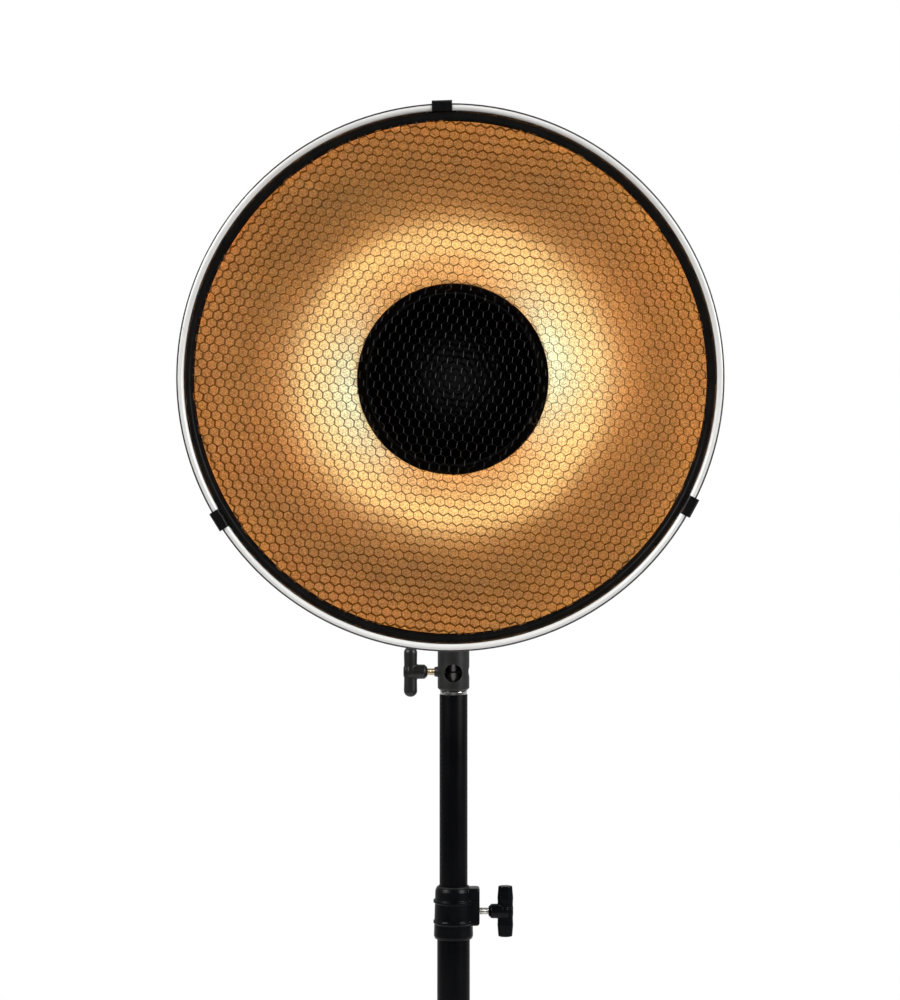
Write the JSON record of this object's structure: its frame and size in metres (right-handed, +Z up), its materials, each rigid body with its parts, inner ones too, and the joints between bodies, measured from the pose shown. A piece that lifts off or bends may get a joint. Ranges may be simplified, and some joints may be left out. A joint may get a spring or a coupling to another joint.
{
  "type": "beauty dish reflector",
  "caption": "Round beauty dish with a clipped-on honeycomb grid and a gloss deflector, on a lamp head in a tilting yoke on a locking light-stand riser.",
  "frame": {"origin": "centre of the column foot's flat underside", "axes": "+Z up along the stand's axis, and the reflector faces -Y, with +X to its right as seen from in front"},
  "size_m": [0.5306, 0.4344, 1.177],
  "materials": {
    "reflector_silver": "peened silver inside",
    "rim_enamel": "off-white satin",
    "black_satin": "satin",
    "honeycomb_black": "matte black foil",
    "black_gloss": "gloss",
    "black_plastic": "fine texture",
    "black_anodised": "satin anodised",
    "spring_steel": "blackened",
    "bright_steel": "turned",
    "chrome": "polished",
    "ceramic": "unglazed",
    "lamp_glass": "frosted",
    "board_green": "solder mask",
    "capacitor_blue": "shrink sleeve"
  },
  "bodies": {
    "column": {"column_tube": "black_anodised", "column_foot": "black_plastic", "column_clamp": "black_plastic", "clamp_bush": "black_plastic"},
    "clamp_lock": {"clamp_screw": "bright_steel", "clamp_tee_handle": "black_plastic"},
    "riser": {"riser_tube": "black_anodised", "riser_cap": "chrome", "riser_foot_bush": "black_plastic", "spigot": "bright_steel"},
    "yoke_arm": {"socket_collar": "black_anodised", "yoke": "black_satin", "yoke_bolt": "bright_steel", "yoke_bolt_washer": "bright_steel", "friction_washer_left": "black_plastic", "friction_washer_right": "black_plastic", "pivot_bolt": "bright_steel"},
    "socket_lock": {"socket_screw": "bright_steel", "socket_tee_handle": "black_plastic"},
    "tilt_lock": {"tilt_knob": "black_plastic", "tilt_stud": "bright_steel"},
    "lamp_head": {"head_housing": "black_plastic", "pivot_boss_left": "black_satin", "pivot_boss_right": "black_satin", "bayonet_ring": "black_satin", "rear_cover": "black_plastic", "power_inlet": "black_plastic", "rear_handle": "black_plastic", "lamp_plate": "ceramic", "lamp_socket": "ceramic", "modelling_lamp": "lamp_glass", "flash_tube": "lamp_glass", "circuit_board": "board_green", "capacitor": "capacitor_blue", "fan_frame": "black_plastic"},
    "fan": {"fan_rotor": "black_plastic"},
    "dial": {"power_dial": "black_plastic"},
    "rocker": {"lamp_rocker": "black_gloss"},
    "reflector": {"reflector_dish": "reflector_silver", "rim_ring": "rim_enamel", "mount_flange": "bright_steel", "mount_screw_1": "bright_steel", "mount_screw_2": "bright_steel", "mount_screw_3": "bright_steel", "deflector": "black_gloss", "deflector_post_1": "black_satin", "deflector_post_2": "black_satin", "deflector_post_3": "black_satin", "post_nut_1": "bright_steel", "post_nut_2": "bright_steel", "post_nut_3": "bright_steel"},
    "grid": {"grid_ring": "black_satin", "grid_honeycomb": "honeycomb_black", "clip_base_top": "spring_steel", "clip_base_left": "spring_steel", "clip_base_right": "spring_steel"},
    "clip_top": {"clip_hook_top": "spring_steel"},
    "clip_left": {"clip_hook_left": "spring_steel"},
    "clip_right": {"clip_hook_right": "spring_steel"}
  },
  "joints": [
    {"name": "riser_slide", "type": "slide", "parent": "column", "child": "riser", "axis": [0, 0, 1], "range_m": [-0.18, 0.05]},
    {"name": "clamp_lock_turn", "type": "hinge", "parent": "column", "child": "clamp_lock", "pos_m": [0.0105, 0, 0.337], "axis": [1, 0, 0], "range_deg": [0, 270]},
    {"name": "pan", "type": "hinge", "parent": "riser", "child": "yoke_arm", "pos_m": [0, 0, 0.6], "axis": [0, 0, 1], "continuous": true},
    {"name": "socket_lock_turn", "type": "hinge", "parent": "yoke_arm", "child": "socket_lock", "pos_m": [0, 0, 0.593], "axis": [-1, 0, 0], "range_deg": [0, 270]},
    {"name": "tilt_lock_turn", "type": "hinge", "parent": "yoke_arm", "child": "tilt_lock", "pos_m": [0, 0, 0.908], "axis": [1, 0, 0], "range_deg": [0, 270]},
    {"name": "tilt", "type": "hinge", "parent": "yoke_arm", "child": "lamp_head", "pos_m": [0, 0, 0.908], "axis": [1, 0, 0], "range_deg": [-90, 35]},
    {"name": "fan_spin", "type": "hinge", "parent": "lamp_head", "child": "fan", "pos_m": [0, 0.038, 0.908], "axis": [0, 1, 0], "continuous": true},
    {"name": "dial_turn", "type": "hinge", "parent": "lamp_head", "child": "dial", "pos_m": [0, 0.0803, 0.926], "axis": [0, 1, 0], "range_deg": [-140, 140]},
    {"name": "rocker_tip", "type": "hinge", "parent": "lamp_head", "child": "rocker", "pos_m": [-0.022, 0.0688, 0.89], "axis": [0, 0, 1], "range_deg": [-18, 0]},
    {"name": "bayonet_twist", "type": "hinge", "parent": "lamp_head", "child": "reflector", "pos_m": [0, -0.14, 0.908], "axis": [0, -1, 0], "range_deg": [0, 30]},
    {"name": "grid_slide", "type": "slide", "parent": "reflector", "child": "grid", "axis": [0, -1, 0], "range_m": [0, 0.03]},
    {"name": "clip_top_lift", "type": "hinge", "parent": "grid", "child": "clip_top", "pos_m": [-0.00763, -0.2975, 1.16509], "axis": [0.9996, 0, 0.0297], "range_deg": [0, 25]},
    {"name": "clip_left_lift", "type": "hinge", "parent": "grid", "child": "clip_left", "pos_m": [-0.21883, -0.2975, 0.77285], "axis": [-0.5255, 0, 0.8508], "range_deg": [0, 25]},
    {"name": "clip_right_lift", "type": "hinge", "parent": "grid", "child": "clip_right", "pos_m": [0.22646, -0.2975, 0.78606], "axis": [-0.4741, 0, -0.8805], "range_deg": [0, 25]}
  ]
}
